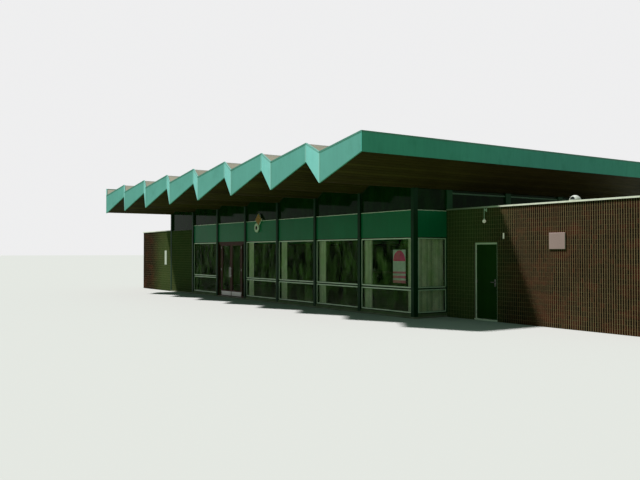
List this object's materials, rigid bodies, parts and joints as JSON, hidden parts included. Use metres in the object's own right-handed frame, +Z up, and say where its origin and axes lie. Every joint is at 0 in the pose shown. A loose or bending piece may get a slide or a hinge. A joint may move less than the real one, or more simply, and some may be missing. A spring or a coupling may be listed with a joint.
{
  "type": "railway station building",
  "caption": "Low railway station hall with a folded zigzag roof on slim posts, a glazed front with a coloured band, and flat brick wings with a hinged door.",
  "frame": {"origin": "ground level, middle of the whole length and depth", "axes": "+X along the front towards the right wing, +Y from the front to the back, +Z up"},
  "size_m": [28.81, 16.4248, 4.853],
  "materials": {
    "roof_felt": "grey-brown mineral felt on boards",
    "soffit_boards": "dark red-brown stained boards",
    "beam_timber": "dark stained laminated timber",
    "fascia_teal": "weathered sea-green paint, semi-gloss",
    "post_green": "very dark green paint",
    "band_teal": "deep sea-green enamelled panels",
    "clear_glass": "clear float glass",
    "window_alloy": "satin anodised",
    "plinth_concrete": "weathered concrete",
    "slab_concrete": "weathered concrete",
    "floor_tile": "dull clay tiles",
    "brick": "dark brown brick, light joints",
    "wing_roofing": "concrete slab under grey felt",
    "coping_white": "ivory white edge trim",
    "door_frame_green": "pale grey-green paint",
    "door_dark": "near-black green paint",
    "door_timber": "dark brown varnished timber",
    "hardware_steel": "brushed",
    "blind_fabric": "pale olive vanes",
    "rail_white": "off-white paint",
    "lamp_paint": "off-white paint",
    "lamp_opal": "opal white",
    "plaque_stone": "pale pinkish grey, bare",
    "dome_white": "white moulding",
    "trim_metal": "pale folded trim",
    "sign_orange": "plain orange and white enamel, blank"
  },
  "bodies": {
    "building": {"roof_deck_right_slopes": "roof_felt", "roof_deck_left_slopes": "roof_felt", "soffit_right_slopes": "soffit_boards", "soffit_left_slopes": "soffit_boards", "valley_beams": "beam_timber", "fascia_front": "fascia_teal", "fascia_back": "fascia_teal", "fascia_sides": "fascia_teal", "roof_edge_trims": "trim_metal", "facade_posts": "post_green", "side_posts": "post_green", "spandrels": "band_teal", "clerestory_glass": "clear_glass", "window_glass": "clear_glass", "window_frames": "window_alloy", "plinths": "plinth_concrete", "hall_slab": "slab_concrete", "wing_floors": "floor_tile", "left_brick_walls": "brick", "left_wing_end_wall": "brick", "wall_left_of_door": "brick", "wall_over_door": "brick", "right_wing_long_walls": "brick", "right_wing_end_wall": "brick", "wing_roofs": "wing_roofing", "wing_copings": "coping_white", "wing_door_jambs": "door_frame_green", "wing_door_head_and_sill": "door_frame_green", "entrance_frame": "door_timber", "entrance_head": "door_timber", "door_hinges": "hardware_steel", "blind_rails": "rail_white", "vertical_blinds": "blind_fabric", "wall_lamp_rod": "lamp_paint", "wall_lamp_globe": "lamp_opal", "wall_door_light": "lamp_opal", "wall_plaque": "plaque_stone", "coping_dome": "dome_white", "sign_strip": "post_green", "sign_plates": "sign_orange"},
    "wing_door": {"wing_door_leaf": "door_dark", "wing_door_lever": "hardware_steel"},
    "entrance_leaf_left": {"entrance_door_left": "door_timber", "entrance_glass_left": "clear_glass", "entrance_pull_left": "hardware_steel"},
    "entrance_leaf_right": {"entrance_door_right": "door_timber", "entrance_glass_right": "clear_glass", "entrance_pull_right": "hardware_steel"}
  },
  "joints": [
    {"name": "wing_door_hinge", "type": "hinge", "parent": "building", "child": "wing_door", "pos_m": [8.0575, -3.773, 1], "axis": [0, 0, -1], "range_deg": [0, 100]},
    {"name": "entrance_hinge_left", "type": "hinge", "parent": "building", "child": "entrance_leaf_left", "pos_m": [-5.27, -5.038, 1], "axis": [0, 0, -1], "range_deg": [0, 90]},
    {"name": "entrance_hinge_right", "type": "hinge", "parent": "building", "child": "entrance_leaf_right", "pos_m": [-3.48, -5.038, 1], "axis": [0, 0, 1], "range_deg": [0, 90]}
  ]
}
